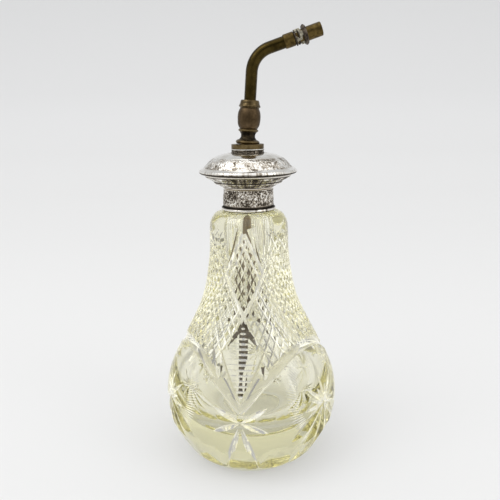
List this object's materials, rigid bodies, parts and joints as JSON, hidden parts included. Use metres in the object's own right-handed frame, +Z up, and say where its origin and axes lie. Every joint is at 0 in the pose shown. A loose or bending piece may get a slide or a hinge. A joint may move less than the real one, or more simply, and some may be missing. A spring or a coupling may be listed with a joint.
{
  "type": "perfume atomiser",
  "caption": "Cut-glass scent bottle with a chased silver collar and cap, topped by a turned brass spray fitting whose swan neck carries a hose spigot.",
  "frame": {"origin": "centre of the glass foot ring, on the surface the bottle stands on", "axes": "+Z up along the bottle axis, +X towards the side the hose spigot points to, -Y towards the face with the upright ladder of cuts"},
  "size_m": [0.0764, 0.0764, 0.185],
  "materials": {
    "glass": "polished cut crystal with a faint straw tint",
    "silver": "polished silver, lightly tarnished",
    "silver_chased": "chased silver with dark tarnish in the recesses",
    "brass": "antique brass, browned",
    "brass_dark": "blackened brass",
    "brass_brown": "brown patinated brass",
    "brass_inner": "plain turned brass",
    "cork": "cork",
    "fibre": "red-brown fibre",
    "plaster": "matt plaster",
    "pitch": "dull pitch",
    "wire": "rusted dark wire",
    "perished_rubber": "dry, crumbling rubber"
  },
  "bodies": {
    "bottle": {"glass_bottle": "glass", "neck_cement": "plaster", "threaded_neck_ferrule": "brass_inner", "collar_sleeve": "silver_chased", "collar_bead": "silver"},
    "seal": {"cork_seal": "cork"},
    "spray_fitting": {"spindle": "brass_inner", "seal_plate": "brass_inner", "lock_nut": "brass_inner", "fibre_washer": "fibre", "flange_disc": "brass", "stem_base_bead": "brass", "stem_waist": "brass_dark", "stem_lower_ring": "brass", "baluster_barrel": "brass_brown", "spray_jet": "brass", "gland_nut": "brass", "gland_packing": "fibre", "riser_tube": "brass_inner", "dip_tube": "brass_dark"},
    "cap": {"cap_dome": "silver", "cap_rim_wire": "silver", "cap_underside": "silver_chased", "cap_screw_liner": "brass_inner", "cap_filling": "pitch", "cap_stub": "silver_chased"},
    "swan_neck": {"swan_neck_tube": "brass", "pivot_collar": "brass_inner", "connector_socket": "brass", "hose_stop_ring": "brass_dark", "hose_spigot": "brass", "binding_wire": "wire", "rubber_remnant": "perished_rubber"}
  },
  "joints": [
    {"name": "head_lift", "type": "slide", "parent": "bottle", "child": "seal", "axis": [0, 0, 1], "range_m": [0, 0.112]},
    {"name": "screw_rise", "type": "slide", "parent": "seal", "child": "spray_fitting", "axis": [0, 0, 1], "range_m": [0, 0.0036]},
    {"name": "cap_turn", "type": "hinge", "parent": "spray_fitting", "child": "cap", "pos_m": [0, 0, 0.12], "axis": [0, 0, 1], "range_deg": [0, 1080]},
    {"name": "neck_swivel", "type": "hinge", "parent": "spray_fitting", "child": "swan_neck", "pos_m": [0, 0, 0.1375], "axis": [0.0732, 0, 0.9973], "range_deg": [-180, 180]}
  ],
  "couplings": [
    {"joint": "screw_rise", "follows": "cap_turn", "m_per_rad": 0.00019098}
  ]
}
